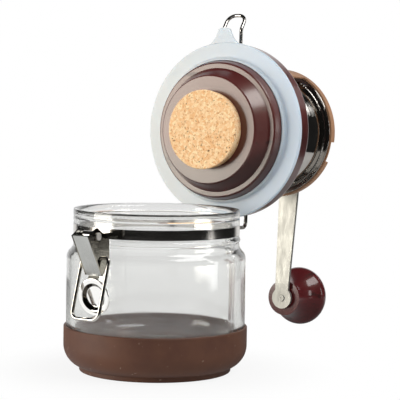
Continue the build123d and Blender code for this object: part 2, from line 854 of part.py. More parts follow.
# The housing in the lid that holds the fixed burr
with BuildPart() as burr_housing:
    with BuildSketch(lid_section):
        with BuildLine():
            Polyline(
                (housing_mouth, ledge_low),
                (housing_radius, ledge_low),
                (housing_radius, flange_top),
                (outer_burr_radius + outer_burr_fit, flange_top),
                (outer_burr_radius + outer_burr_fit, ledge_low + housing_floor),
                (housing_mouth, ledge_low + housing_floor),
                close=True,
            )
        make_face()
    revolve(axis=lid_axis)
burr_housing.part.label = "burr_housing"
export_step(burr_housing.part, "parts/burr_housing.step")

# The fixed outer burr: a ring with grooves round its throat
outer_burr_low = ledge_low + housing_floor
with BuildPart() as outer_burr:
    with BuildSketch(lid_section):
        with BuildLine():
            Polyline(
                (outer_burr_exit, outer_burr_low),
                (outer_burr_radius, outer_burr_low),
                (outer_burr_radius, flange_top),
                (outer_burr_entry, flange_top),
                (outer_burr_throat, flange_top - outer_burr_flare_height),
                (outer_burr_throat, outer_burr_low + outer_burr_grind_height),
                close=True,
            )
        make_face()
    revolve(axis=lid_axis)
    with BuildSketch(lid_plane.offset(flange_top)):
        with PolarLocations(outer_burr_throat, burr_grooves):
            Rectangle(2 * burr_groove_depth, burr_groove_width)
    extrude(amount=outer_burr_low + outer_burr_grind_height - flange_top, mode=Mode.SUBTRACT)
outer_burr.part.label = "outer_burr"
export_step(outer_burr.part, "parts/outer_burr.step")

# The turning inner burr: a grooved cone keyed on the shaft
with BuildPart() as inner_burr:
    with BuildSketch(lid_section):
        with BuildLine():
            Polyline(
                (shaft_radius + burr_bore_fit, burr_low),
                (inner_burr_radius, burr_low),
                (inner_burr_top_radius, burr_top),
                (shaft_radius + burr_bore_fit, burr_top),
                close=True,
            )
        make_face()
    revolve(axis=lid_axis)
    with BuildSketch(lid_plane.offset(burr_top)):
        with PolarLocations(inner_burr_top_radius, burr_grooves):
            Rectangle(2 * burr_groove_depth, burr_groove_width)
    extrude(amount=-inner_burr_height / 2, mode=Mode.SUBTRACT)
    with BuildSketch(lid_plane.offset(burr_low)):
        with PolarLocations(inner_burr_radius, 2 * burr_grooves):
            Rectangle(2 * burr_groove_depth, burr_groove_width)
    extrude(amount=inner_burr_height, mode=Mode.SUBTRACT)
inner_burr.part.label = "inner_burr"
export_step(inner_burr.part, "parts/inner_burr.step")

# The spider on the hopper floor that carries the lower bush
bush_bore = bush_radius + fixed_fit
with BuildPart() as bearing_spider:
    with BuildSketch(lid_plane.offset(hopper_floor_top)):
        Circle(spider_radius)
        Circle(spider_ring_inner, mode=Mode.SUBTRACT)
        with PolarLocations(spider_ring_inner / 2, spider_arms):
            Rectangle(spider_ring_inner + spider_arm_overlap, spider_arm_width)
        with PolarLocations(screw_circle_radius, screw_count):
            Circle(screw_radius + fixed_fit, mode=Mode.SUBTRACT)
    extrude(amount=spider_thickness)
    with BuildSketch(lid_plane.offset(hopper_floor_top)):
        Circle(spider_hub_radius)
    extrude(amount=spider_hub_height)
    with BuildSketch(lid_plane.offset(hopper_floor_top)):
        Circle(bush_bore)
    extrude(amount=spider_hub_height, mode=Mode.SUBTRACT)
bearing_spider.part.label = "bearing_spider"
export_step(bearing_spider.part, "parts/bearing_spider.step")

# The flanged bush in the spider
with BuildPart() as lower_bush:
    with BuildSketch(lid_plane.offset(hopper_floor_top)):
        Circle(bush_radius)
    extrude(amount=spider_hub_height)
    with BuildSketch(lid_plane.offset(spider_hub_top)):
        Circle(bush_radius + bush_flange)
    extrude(amount=bush_flange_height)
    with BuildSketch(lid_plane.offset(hopper_floor_top)):
        Circle(shaft_radius + running_fit)
    extrude(amount=spider_hub_height + bush_flange_height, mode=Mode.SUBTRACT)
lower_bush.part.label = "lower_bush"
export_step(lower_bush.part, "parts/lower_bush.step")

# The screws through the spider and the hopper floor into the lid
with BuildPart() as hopper_screws:
    with BuildSketch(lid_plane.offset(spider_top)):
        with PolarLocations(screw_circle_radius, screw_count):
            Circle(screw_head_radius)
    extrude(amount=screw_head_height)
    with BuildSketch(lid_plane.offset(spider_top)):
        with PolarLocations(screw_circle_radius, screw_count):
            Circle(screw_radius)
    extrude(amount=-screw_length)
hopper_screws.part.label = "hopper_screws"
export_step(hopper_screws.part, "parts/hopper_screws.step")

# The bridge across the hopper's mouth that carries the upper bush
bridge_reach = hopper_radius - hopper_sheet - bridge_gap
with BuildPart() as upper_bridge:
    with BuildSketch(lid_plane.offset(bridge_low - bridge_tail)):
        Circle(bridge_reach)
        Rectangle(2 * bridge_reach, bridge_width, mode=Mode.INTERSECT)
    extrude(amount=bridge_tail + bridge_thickness)
    with BuildSketch(lid_plane.offset(bridge_low - bridge_tail)):
        Circle(bridge_reach - bridge_thickness)
    extrude(amount=bridge_tail, mode=Mode.SUBTRACT)
    with BuildSketch(lid_plane.offset(bridge_low)):
        Circle(bush_bore)
    extrude(amount=bridge_thickness, mode=Mode.SUBTRACT)
upper_bridge.part.label = "upper_bridge"
export_step(upper_bridge.part, "parts/upper_bridge.step")

# The flanged bush in the bridge
with BuildPart() as upper_bush:
    with BuildSketch(lid_plane.offset(bridge_low - bush_flange_height)):
        Circle(bush_radius)
    extrude(amount=bridge_thickness + bush_flange_height)
    with BuildSketch(lid_plane.offset(bridge_top)):
        Circle(bush_radius + bush_flange)
    extrude(amount=bush_flange_height)
    with BuildSketch(lid_plane.offset(bridge_low - bush_flange_height)):
        Circle(shaft_radius + running_fit)
    extrude(amount=bridge_thickness + 2 * bush_flange_height, mode=Mode.SUBTRACT)
upper_bush.part.label = "upper_bush"
export_step(upper_bush.part, "parts/upper_bush.step")

# The drive shaft, from the adjuster's thread up to the crank nut
collar_low = bridge_top + bush_flange_height + running_fit
collar_top = crank_low - drive_washer_thickness
nut_low = crank_low + arm_thickness
shaft_top = nut_low + crank_nut_height - crank_nut_cap
with BuildPart() as drive_shaft:
    with BuildSketch(lid_plane.offset(shaft_low)):
        Circle(shaft_radius)
    extrude(amount=shaft_top - shaft_low)
    with BuildSketch(lid_plane.offset(collar_low)):
        Circle(shaft_collar_radius)
    extrude(amount=collar_top - collar_low)
drive_shaft.part.label = "drive_shaft"
export_step(drive_shaft.part, "parts/drive_shaft.step")

# The spring that holds the inner burr down on the adjuster
with BuildPart() as burr_spring:
    with BuildSketch(lid_plane.offset(burr_top)):
        Circle(spring_radius)
        Circle(spring_radius - spring_wall, mode=Mode.SUBTRACT)
    extrude(amount=hopper_floor_top - spring_gap - burr_top)
burr_spring.part.label = "burr_spring"
export_step(burr_spring.part, "parts/burr_spring.step")

# The lobed nut under the inner burr that sets the grind
with BuildPart() as adjuster_nut:
    with BuildSketch(lid_plane.offset(adjuster_low)):
        Circle(adjuster_radius)
        with PolarLocations(adjuster_radius, adjuster_lobes):
            Circle(adjuster_lobe_radius)
        Circle(shaft_radius + running_fit, mode=Mode.SUBTRACT)
    extrude(amount=adjuster_height)
adjuster_nut.part.label = "adjuster_nut"
export_step(adjuster_nut.part, "parts/adjuster_nut.step")

# The washer between the shaft's collar and the crank
with BuildPart() as drive_washer:
    with BuildSketch(lid_plane.offset(collar_top)):
        Circle(drive_washer_radius)
        Circle(shaft_radius + arm_fit, mode=Mode.SUBTRACT)
    extrude(amount=drive_washer_thickness)
drive_washer.part.label = "drive_washer"
export_step(drive_washer.part, "parts/drive_washer.step")

# The crank arm: a tapered steel strip that steps down from the hub to the knob
arm_end = arm_length + arm_eye_radius
eye_bend = arm_length - arm_eye_flat
with BuildPart() as crank_arm:
    with BuildSketch(lid_side):
        with BuildLine():
            Polyline(
                (-arm_hub_radius, crank_low),
                (arm_hub_flat, crank_low),
                (eye_bend, arm_end_low),
                (arm_end, arm_end_low),
                (arm_end, arm_end_low + arm_thickness),
                (eye_bend, arm_end_low + arm_thickness),
                (arm_hub_flat, crank_low + arm_thickness),
                (-arm_hub_radius, crank_low + arm_thickness),
                close=True,
            )
        make_face()
    extrude(amount=2 * arm_hub_radius, both=True)
    with BuildSketch(lid_plane):
        Circle(arm_hub_radius)
        with Locations((0, arm_length)):
            Circle(arm_eye_radius)
        with BuildLine():
            Polyline(
                (arm_root_width / 2, 0),
                (arm_tip_width / 2, arm_length),
                (-arm_tip_width / 2, arm_length),
                (-arm_root_width / 2, 0),
                close=True,
            )
        make_face()
        Circle(shaft_radius + arm_fit, mode=Mode.SUBTRACT)
        with Locations((0, arm_length)):
            Circle(rivet_radius + arm_fit, mode=Mode.SUBTRACT)
    extrude(amount=nut_low + arm_thickness, mode=Mode.INTERSECT)
crank_arm.part.label = "crank_arm"
export_step(crank_arm.part, "parts/crank_arm.step")

# The cap nut that holds the crank on the shaft
with BuildPart() as crank_nut:
    with BuildSketch(lid_plane.offset(nut_low)):
        RegularPolygon(crank_nut_radius, 6)
    extrude(amount=crank_nut_height)
    fillet(crank_nut.faces().sort_by(lid_axis)[-1].edges(), crank_nut_rounding)
    with BuildSketch(lid_plane.offset(nut_low)):
        Circle(shaft_radius + fixed_fit)
    extrude(amount=shaft_top - nut_low, mode=Mode.SUBTRACT)
crank_nut.part.label = "crank_nut"
export_step(crank_nut.part, "parts/crank_nut.step")

# The knob's frame: its axis stands on the arm's eye
knob_origin = lid_origin + lid_back * arm_length
knob_plane = Plane(origin=knob_origin, x_dir=(1, 0, 0), z_dir=lid_up)
knob_section = Plane(origin=knob_origin, x_dir=(1, 0, 0), z_dir=-lid_back)
knob_axis = Axis(knob_origin, lid_up)
arm_eye_top = arm_end_low + arm_thickness
washer_top = arm_eye_top + knob_washer_thickness
knob_low = washer_top + knob_gap
knob_girth = knob_low + knob_girth_height
back_sine = math.sin(math.radians(knob_back_angle))
back_cosine = math.cos(math.radians(knob_back_angle))
back_edge = knob_radius - knob_back_rounding * (1 - back_cosine)
back_edge_top = knob_girth + knob_back_rounding * back_sine
crown_radius = back_edge / back_cosine
crown_centre = back_edge_top - crown_radius * back_sine
cap_low = crown_centre + math.sqrt(crown_radius**2 - knob_cap_radius**2) - knob_cap_thickness
bolt_end_top = cap_low - bolt_end_gap
bolt_end_low = bolt_end_top - bolt_end_height
bush_outer = bolt_radius + running_fit + knob_bush_wall
bush_top = bolt_end_low - bolt_end_gap

# The shouldered bolt that the knob turns on, riveted over the arm's eye
with BuildPart() as knob_bolt:
    with BuildSketch(knob_plane.offset(arm_end_low - rivet_head_height)):
        Circle(rivet_head_radius)
    extrude(amount=rivet_head_height)
    fillet(knob_bolt.faces().sort_by(knob_axis)[0].edges(), rivet_head_rounding)
    with BuildSketch(knob_plane.offset(arm_end_low)):
        Circle(rivet_radius)
    extrude(amount=arm_thickness)
    with BuildSketch(knob_plane.offset(arm_end_low - rivet_head_height)):
        Circle(rivet_dimple_radius)
    extrude(amount=rivet_dimple_depth, mode=Mode.SUBTRACT)
    with BuildSketch(knob_plane.offset(arm_eye_top)):
        Circle(bolt_radius)
    extrude(amount=bolt_end_top - arm_eye_top)
    with BuildSketch(knob_plane.offset(bolt_end_low)):
        Circle(bolt_end_radius)
    extrude(amount=bolt_end_height)
knob_bolt.part.label = "knob_bolt"
export_step(knob_bolt.part, "parts/knob_bolt.step")

# The washer between the arm and the knob
with BuildPart() as knob_washer:
    with BuildSketch(knob_plane.offset(arm_eye_top)):
        Circle(knob_washer_radius)
        Circle(bolt_radius + arm_fit, mode=Mode.SUBTRACT)
    extrude(amount=knob_washer_thickness)
knob_washer.part.label = "knob_washer"
export_step(knob_washer.part, "parts/knob_washer.step")

# The wooden ball knob: a flat face toward the arm, a flared neck, a round girth and a domed back,
# bored for its bush and the bolt's end
shoulder_sine = math.sin(math.radians(knob_shoulder_angle))
shoulder_cosine = math.cos(math.radians(knob_shoulder_angle))
shoulder_edge = knob_radius - knob_shoulder_rounding * (1 - shoulder_cosine)
shoulder_low = knob_girth - knob_shoulder_rounding * shoulder_sine
with BuildPart() as crank_knob:
    with BuildSketch(knob_section):
        with BuildLine():
            girth = (knob_radius, knob_girth)
            front = TangentArc(girth, (shoulder_edge, shoulder_low), tangent=(0, -1))
            rim = (knob_face_radius, knob_low + knob_rim_height)
            flare = TangentArc(front @ 1, rim, tangent=front % 1)
            rear = TangentArc(girth, (back_edge, back_edge_top), tangent=(0, 1))
            crown_rim = (knob_cap_radius, cap_low + knob_cap_thickness)
            dome = TangentArc(rear @ 1, crown_rim, tangent=rear % 1)
            Polyline(
                dome @ 1,
                (knob_cap_radius, bush_top),
                (bush_outer + fixed_fit, bush_top),
                (bush_outer + fixed_fit, knob_low),
                (knob_face_radius, knob_low),
                flare @ 1,
            )
        make_face()
    revolve(axis=knob_axis)
crank_knob.part.label = "crank_knob"
export_step(crank_knob.part, "parts/crank_knob.step")

# The bush pressed into the knob
with BuildPart() as knob_bush:
    with BuildSketch(knob_plane.offset(knob_low)):
        Circle(bush_outer)
        Circle(bolt_radius + running_fit, mode=Mode.SUBTRACT)
    extrude(amount=bush_top - knob_low)
knob_bush.part.label = "knob_bush"
export_step(knob_bush.part, "parts/knob_bush.step")

# The domed cap that closes the knob over the bolt's end
with BuildPart() as knob_cap:
    with BuildSketch(knob_section):
        with BuildLine():
            cap_edge = knob_cap_radius - fixed_fit
            cap_edge_top = crown_centre + math.sqrt(crown_radius**2 - cap_edge**2)
            crown = RadiusArc((0, crown_centre + crown_radius), (cap_edge, cap_edge_top), crown_radius)
            Polyline(crown @ 1, (cap_edge, cap_low), (0, cap_low), crown @ 0)
        make_face()
    revolve(axis=knob_axis)
knob_cap.part.label = "knob_cap"
export_step(knob_cap.part, "parts/knob_cap.step")

# The tapered cork that stops the outlet under the mill
with BuildPart() as cork_stopper:
    with BuildSketch(lid_section):
        with BuildLine():
            Polyline(
                (0, -boss_depth - cork_proud),
                (cork_radius, -boss_depth - cork_proud),
                (cork_inner_radius, cork_seat),
                (0, cork_seat),
                close=True,
            )
        make_face()
    revolve(axis=lid_axis)
    cork_rings = cork_stopper.edges().filter_by(GeomType.CIRCLE)
    fillet(cork_rings.sort_by(lid_axis)[0], cork_rounding)
cork_stopper.part.label = "cork_stopper"
export_step(cork_stopper.part, "parts/cork_stopper.step")
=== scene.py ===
# %% [markdown]
# # Dressing a hand crank coffee grinder
# The solids of the grinder come ready at their real size: a clip-top jar, a wooden lid that hangs
# open, and the mill that the lid carries. This lesson gives each piece the finish of the real one,
# sets a camera where the picture was taken and lights it as a small studio would.
# The solids stay where they are, so we load them first.

# %% Load the grinder
import math

import bmesh
import bpy
from mathutils import Matrix, Quaternion, Vector

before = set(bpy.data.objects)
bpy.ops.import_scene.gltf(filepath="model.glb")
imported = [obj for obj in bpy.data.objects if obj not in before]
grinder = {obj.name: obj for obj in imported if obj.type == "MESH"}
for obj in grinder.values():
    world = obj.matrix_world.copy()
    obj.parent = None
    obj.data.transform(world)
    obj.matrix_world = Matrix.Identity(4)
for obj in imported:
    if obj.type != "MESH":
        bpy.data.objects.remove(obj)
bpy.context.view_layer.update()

# %% [markdown]
# ## The camera
# A camera can be aimed by eye, but this view was measured: the height of the jar's rim against its
# foot gives the tilt, and the round lid gives the turn. We keep those angles as named values and
# build the camera's three axes from them, so the picture can be understood and changed.

# %% Place the camera
picture_pixels = 400
sensor_mm = 36.0
focal_pixels = 1536.7
camera_turn = math.radians(32.24)
camera_tilt = math.radians(3.87)
camera_roll = math.radians(0.84)
camera_distance = 0.900
aim_sideways = 0.02519
aim_height = 0.10039


def outward(turn, tilt):
    """The direction at a turn from the front and a tilt from level, both in radians."""
    level = math.cos(tilt)
    return Vector((math.sin(turn) * level, -math.cos(turn) * level, math.sin(tilt)))


sideways = Vector((math.cos(camera_turn), math.sin(camera_turn), 0))
toward_camera = outward(camera_turn, camera_tilt)
upward = toward_camera.cross(sideways)
picture_right = sideways * math.cos(camera_roll) + upward * math.sin(camera_roll)
picture_up = upward * math.cos(camera_roll) - sideways * math.sin(camera_roll)
picture_middle = sideways * aim_sideways + Vector((0, 0, aim_height))
lens = bpy.data.cameras.new("studio_lens")
lens.sensor_width = sensor_mm
lens.lens = sensor_mm * focal_pixels / picture_pixels
camera = bpy.data.objects.new("studio_camera", lens)
camera.matrix_world = Matrix((picture_right, picture_up, toward_camera)).transposed().to_4x4()
camera.location = picture_middle + toward_camera * camera_distance
bpy.context.scene.collection.objects.link(camera)
bpy.context.scene.camera = camera
print("lens", round(lens.lens, 1), "mm at", [round(c, 3) for c in camera.location])

# %% [markdown]
# ## Sums with sockets
# A finish is a small network of nodes. Linking nodes by hand makes long code that hides the idea,
# so a wrapped socket lets us write the idea as a sum: `1 - grain * 0.3` adds the Math nodes by
# itself. Every other node comes from one method, which sets the node up first and then fills its
# sockets.


# %% A socket that can be added, multiplied and compared
class Wire:
    """An output socket in a node tree; sums on it add Math nodes."""

    def __init__(self, graph, socket):
        self.graph = graph
        self.socket = socket

    def math(self, operation, *values):
        return self.graph.node("ShaderNodeMath", {"operation": operation}, dict(enumerate(values)))

    def __add__(self, other):
        return self.math("ADD", self, other)

    def __radd__(self, other):
        return self.math("ADD", other, self)

    def __sub__(self, other):
        return self.math("SUBTRACT", self, other)

    def __rsub__(self, other):
        return self.math("SUBTRACT", other, self)

    def __mul__(self, other):
        return self.math("MULTIPLY", self, other)

    def __rmul__(self, other):
        return self.math("MULTIPLY", other, self)

    def __gt__(self, other):
        return self.math("GREATER_THAN", self, other)

    def most(self, other):
        return self.math("MAXIMUM", self, other)


print("a wire can be added, taken away, multiplied and compared")


# %% A node tree that hands out wires
class Graph:
    """The node tree of a material or of the world."""

    def __init__(self, owner):
        owner.use_nodes = True
        self.tree = owner.node_tree
        self.tree.nodes.clear()

    def node(self, kind, settings, sockets, out=0):
        """A new node, as a wire from one output, or a list of wires if out is a tuple."""
        made = self.tree.nodes.new(kind)
        for name, value in settings.items():
            setattr(made, name, value)
        for name, value in sockets.items():
            self.feed(made.inputs[name], value)
        if isinstance(out, tuple):
            return [Wire(self, made.outputs[name]) for name in out]
        return Wire(self, made.outputs[out]) if len(made.outputs) else made

    def feed(self, socket, value):
        if isinstance(value, Wire):
            self.tree.links.new(value.socket, socket)
        else:
            socket.default_value = value

    def place(self):
        return self.node("ShaderNodeTexCoord", {}, {}, out="Object")

    def split(self, vector):
        return self.node("ShaderNodeSeparateXYZ", {}, {0: vector}, out=("X", "Y", "Z"))

    def vector_sum(self, operation, *values, out="Vector"):
        settings = {"operation": operation}
        return self.node("ShaderNodeVectorMath", settings, dict(enumerate(values)), out)

    def noise(self, vector, scale, detail, rough=0.5):
        sockets = {"Vector": vector, "Scale": scale, "Detail": detail, "Roughness": rough}
        return self.node("ShaderNodeTexNoise", {}, sockets)

    def span(self, value, low, high, to_low=0.0, to_high=1.0):
        """A smooth step from one value to another while the first goes from low to high."""
        ends = {"From Min": low, "From Max": high, "To Min": to_low, "To Max": to_high}
        settings = {"interpolation_type": "SMOOTHSTEP"}
        return self.node("ShaderNodeMapRange", settings, {"Value": value, **ends})

    def mix(self, share, first, second):
        sockets = {0: share, 6: first, 7: second}
        return self.node("ShaderNodeMix", {"data_type": "RGBA"}, sockets, out=2)

    def bump(self, height, strength, distance):
        sockets = {"Height": height, "Strength": strength, "Distance": distance}
        return self.node("ShaderNodeBump", {}, sockets)


print("wires and graphs are ready")

# %% [markdown]
# ## Colours and the lid's own frame
# The colours given for each finish are the ones seen on a screen, so a helper turns them into the
# linear light that shaders work in. The lid hangs open at its hinge, so patterns that belong to the
# lid are laid out in the lid's frame: across, along toward the hinge, and up out of its top.

# %% Colour helper
screen_white = 255
toe_end, toe_slope = 0.04045, 12.92
curve_offset, curve_power = 0.055, 2.4


def paint(red, green, blue):
    """A colour as a screen shows it, in linear light."""
    parts = []
    for screen in (red, green, blue):
        share = screen / screen_white
        curve = ((share + curve_offset) / (1 + curve_offset)) ** curve_power
        parts.append(share / toe_slope if share <= toe_end else curve)
    return (*parts, 1.0)


print("middle grey on a screen is", round(paint(128, 128, 128)[0], 3), "in linear light")

# %% Lid frame
lid_opening = math.radians(92)
hinge_point = Vector((0, 0.0580, 0.08245))
lid_lift = 0.0127
lid_up = Vector((0, math.sin(lid_opening), math.cos(lid_opening)))
lid_back = Vector((0, math.cos(lid_opening), -math.sin(lid_opening)))
lid_centre = hinge_point - lid_back * hinge_point.y + lid_up * lid_lift


def lid_place(graph):
    sockets = {"Vector": graph.place(), "Location": lid_centre, "Rotation": (-lid_opening, 0, 0)}
    return graph.node("ShaderNodeMapping", {"vector_type": "TEXTURE"}, sockets)


def stretch(graph, vector, scale):
    return graph.vector_sum("MULTIPLY", vector, scale)


print("lid centre", [round(c, 4) for c in lid_centre])


# %% Make a finish and lay it on
def finish_of(name, look):
    """A new material; look(graph) gives its shader's sockets and any volume."""
    material = bpy.data.materials.new(name)
    graph = Graph(material)
    sockets, inside = look(graph)
    shader = graph.node("ShaderNodeBsdfPrincipled", {}, sockets)
    ends = {"Surface": shader}
    if inside:
        ends["Volume"] = graph.node("ShaderNodeVolumeAbsorption", {}, inside)
    graph.node("ShaderNodeOutputMaterial", {}, ends)
    return material


def dress(material, *names):
    for name in names:
        grinder[name].data.materials.clear()
        grinder[name].data.materials.append(material)
    print(material.name, "on", ", ".join(names))


print("finishes can be made and laid on", len(grinder), "pieces")

# %% [markdown]
# ## Clear glass
# The jar is pressed soda glass: nearly clear through its wall, but olive where we look along the
# wall at the rim and the sides. A tint on the surface would colour the whole jar evenly, so the
# colour sits inside the glass as absorption, which grows with the length of glass that light
# crosses. A faint wave in the surface keeps the highlights from looking machined, and a trace of
# roughness softens their edges, as on glass that was pressed and not ground.

# %% Glass finish
olive_tint, tint_strength = (0.76, 0.80, 0.66, 1), 13.0
glass_index = 1.5
upright_wave, wave_depth = (1, 1, 0.35), 0.0012
clean_glass, smeared_glass = 0.05, 0.10


def jar_glass(graph):
    place = graph.place()
    wave = graph.noise(stretch(graph, place, upright_wave), scale=42.0, detail=1.0)
    smear = graph.noise(place, scale=90.0, detail=3.0)
    sockets = {
        "Base Color": (1, 1, 1, 1),
        "Roughness": graph.span(smear, 0.40, 0.75, clean_glass, smeared_glass),
        "IOR": glass_index,
        "Transmission Weight": 0.99,
        "Normal": graph.bump(wave, strength=0.25, distance=wave_depth),
    }
    return sockets, {"Color": olive_tint, "Density": tint_strength}


dress(finish_of("clear_glass", jar_glass), "glass_jar")

# %% [markdown]
# ## Brown silicone
# The sleeve under the jar and the ring round the hopper's cover are moulded silicone: a soft brown
# with a dull gloss, pale specks of lint and a fine grain from the mould. A plain rough colour would
# look like clay, so the grain drives a small bump and the lint is a threshold on fine noise.

# %% Silicone finish
lint_pale = paint(170, 142, 124)
mould_grain = 0.0002


def brown_silicone(body, shade):
    def look(graph):
        place = graph.place()
        cloud = graph.noise(place, scale=60.0, detail=3.0)
        grain = graph.noise(place, scale=1500.0, detail=2.0)
        lint = graph.span(graph.noise(place, scale=420.0, detail=1.0), 0.72, 0.78)
        colour = graph.mix(graph.span(cloud, 0.3, 0.7), shade, body)
        sockets = {
            "Base Color": graph.mix(lint * 0.45, colour, lint_pale),
            "Roughness": 0.50 + cloud * 0.12,
            "Specular IOR Level": 0.35,
            "Normal": graph.bump(grain, strength=0.25, distance=mould_grain),
        }
        return sockets, None

    return look


sleeve_brown = brown_silicone(paint(98, 63, 46), paint(87, 54, 40))
# painted light: the ring is the sleeve's silicone, made paler for the light that falls on it from
# behind
ring_painted_light_brown = brown_silicone(paint(174, 131, 99), paint(154, 115, 88))
dress(finish_of("sleeve_silicone", sleeve_brown), "silicone_base")
dress(finish_of("ring_silicone_painted_light", ring_painted_light_brown), "cover_ring")

# %% [markdown]
# ## Clear silicone
# The gasket is the milky kind. Its colour runs from grey on its left to blue on its right, a
# painted light for cool light falling on its right side. Light enters it and scatters, so its edge
# glows a little and its shadows stay soft. Full subsurface scattering in a piece this thin costs
# time and blurs the bead, so a moderate share of it is laid over a pale body.

# %% Gasket finish
# painted light: the blue end stands for cool light falling on the gasket's right side
milky_grey, painted_cool_blue = paint(202, 206, 206), paint(202, 215, 229)
painted_light_start, painted_light_end = -0.045, 0.075
scatter_reach = (0.0024, 0.0030, 0.0036)
skin_depth = 0.0002


def milky_silicone(graph):
    place = graph.place()
    cloud = graph.noise(place, scale=35.0, detail=2.0)
    skin = graph.noise(place, scale=900.0, detail=2.0)
    across = graph.split(place)[0]
    # painted light: grey on the left turns to blue on the right, for cool light from that side
    painted_cool_share = graph.span(across + cloud * 0.03, painted_light_start, painted_light_end)
    sockets = {
        "Base Color": graph.mix(painted_cool_share, milky_grey, painted_cool_blue),
        "Roughness": 0.30 + cloud * 0.15,
        "Subsurface Weight": 0.55,
        "Subsurface Radius": scatter_reach,
        "Subsurface Scale": 1.0,
        "Normal": graph.bump(skin, strength=0.06, distance=skin_depth),
    }
    return sockets, None


dress(finish_of("clear_silicone", milky_silicone), "lid_gasket")

# %% [markdown]
# ## Stained and lacquered wood
# The lid and the knob are turned wood, stained a deep wine red and sealed with a satin lacquer. The
# lacquer is why the flat faces look beige under a lamp while the sides stay almost black. So the
# stain is the base colour, with long pores and soft rings along the board, and the lacquer is a
# coat with its own gloss over it.

# %% Wood finish
pore_black = paint(30, 10, 10)
lacquer_cream = (1.0, 0.94, 0.79, 1)
lacquer_index = 1.5
pore_depth = 0.0003


def stained_wood(light, dark, grain_scale, coat, gloss, shine):
    def look(graph):
        place = lid_place(graph)
        board = stretch(graph, place, grain_scale)
        rings = graph.noise(board, scale=14.0, detail=3.0, rough=0.6)
        pores = graph.span(graph.noise(board, scale=160.0, detail=2.0, rough=0.6), 0.60, 0.72)
        stain = graph.mix(graph.span(rings, 0.35, 0.68), dark, light)
        haze = graph.noise(place, scale=45.0, detail=2.0)
        sockets = {
            "Base Color": graph.mix(pores * 0.55, stain, pore_black),
            "Roughness": 0.30 + haze * 0.12 + pores * 0.15,
            "Specular IOR Level": shine,
            "Specular Tint": lacquer_cream,
            "Coat Weight": coat,
            "Coat Roughness": gloss,
            "Coat IOR": lacquer_index,
            "Normal": graph.bump(1 - pores * 0.6 + rings * 0.4, strength=0.10, distance=pore_depth),
        }
        return sockets, None

    return look


# %% Lid, knob and knob end
lid_board = (0.12, 1.0, 1.0)
knob_board = (1.0, 1.0, 0.12)
wine, dark_wine = paint(90, 33, 32), paint(60, 18, 20)
knob_red, dark_knob_red = paint(92, 26, 30), paint(58, 14, 18)
bare_end, dark_end_grain = paint(124, 74, 56), paint(96, 50, 40)
lid_wood = stained_wood(wine, dark_wine, lid_board, coat=0.75, gloss=0.20, shine=0.55)
knob_wood = stained_wood(knob_red, dark_knob_red, knob_board, coat=0.8, gloss=0.10, shine=0.2)
end_wood = stained_wood(bare_end, dark_end_grain, knob_board, coat=0.6, gloss=0.20, shine=0.5)
dress(finish_of("lid_wood", lid_wood), "wooden_lid")
dress(finish_of("knob_wood", knob_wood), "crank_knob")
dress(finish_of("knob_end_wood", end_wood), "knob_cap")

# %% [markdown]
# ## Cork
# The stopper is pressed from cork crumbs, so it is a patchwork: each crumb has its own tan, brown
# flecks and dark bark lie between them, and small pits catch the light. Voronoi cells give the
# crumbs, two noises give the flecks and the bark, and all of them sink the surface a little through
# a bump.

# %% Cork finish
crumb_tan, crumb_pale = paint(240, 187, 132), paint(254, 226, 182)
fleck_brown, bark_brown, seam_tan = paint(200, 130, 76), paint(104, 60, 30), paint(214, 162, 112)
crumbs_per_metre = 620.0
pit_depth = 0.0004


def pressed_cork(graph):
    place = graph.place()
    crumb = {"Vector": place, "Scale": crumbs_per_metre, "Randomness": 1.0}
    tone = graph.split(graph.node("ShaderNodeTexVoronoi", {}, crumb, out="Color"))[0]
    seam = graph.node("ShaderNodeTexVoronoi", {"feature": "DISTANCE_TO_EDGE"}, crumb)
    fleck = graph.span(graph.noise(place, scale=760.0, detail=3.0, rough=0.65), 0.55, 0.66)
    bark = graph.span(graph.noise(place, scale=560.0, detail=3.0, rough=0.65), 0.635, 0.69)
    joint = graph.span(seam, 0.0, 0.06, 1.0, 0.0)
    colour = graph.mix(tone, crumb_tan, crumb_pale)
    colour = graph.mix(fleck * 0.8, colour, fleck_brown)
    colour = graph.mix(bark * 0.95, colour, bark_brown)
    relief = 1 - bark - fleck * 0.5 - joint * 0.3
    sockets = {
        "Base Color": graph.mix(joint * 0.25, colour, seam_tan),
        "Roughness": 0.78 + tone * 0.12,
        "Specular IOR Level": 0.3,
        "Normal": graph.bump(relief, strength=0.5, distance=pit_depth),
    }
    return sockets, None


dress(finish_of("cork", pressed_cork), "cork_stopper")

# %% [markdown]
# ## Steels
# The band, hopper and wires are polished and mostly mirror a dark room. The crank is tumbled, a
# warm pale grey with fine specks, the mill's own steel is satin, and the end of the lever's pin is
# the palest. They share one recipe: a metal whose roughness and tone follow streaks laid along the
# piece, and only the streaks' direction, strength and gloss change.

# %% Steel finish
streak_scale, stain_scale = 40.0, 70.0
stain_shade = 0.78
scratch_depth = 0.0001


def rub_and_stain(graph, place, streaks):
    """Streaks along a piece, soft stains, and the mix of both that the gloss follows."""
    rub = graph.noise(stretch(graph, place, streaks), streak_scale, detail=4.0, rough=0.65)
    stain = graph.noise(place, stain_scale, detail=3.0)
    return rub, stain, rub * 0.7 + stain * 0.3


def rubbed_steel(tone, rough_low, rough_high, streaks, depth, in_lid=False):
    def look(graph):
        place = lid_place(graph) if in_lid else graph.place()
        rub, stain, wear = rub_and_stain(graph, place, streaks)
        shade = tuple(stain_shade * part for part in tone[:3]) + (1.0,)
        sockets = {
            "Base Color": graph.mix(graph.span(stain, 0.35, 0.7), shade, tone),
            "Metallic": 1.0,
            "Roughness": graph.span(wear, 0.3, 0.7, rough_low, rough_high),
            "Normal": graph.bump(rub, strength=depth, distance=scratch_depth),
        }
        return sockets, None

    return look


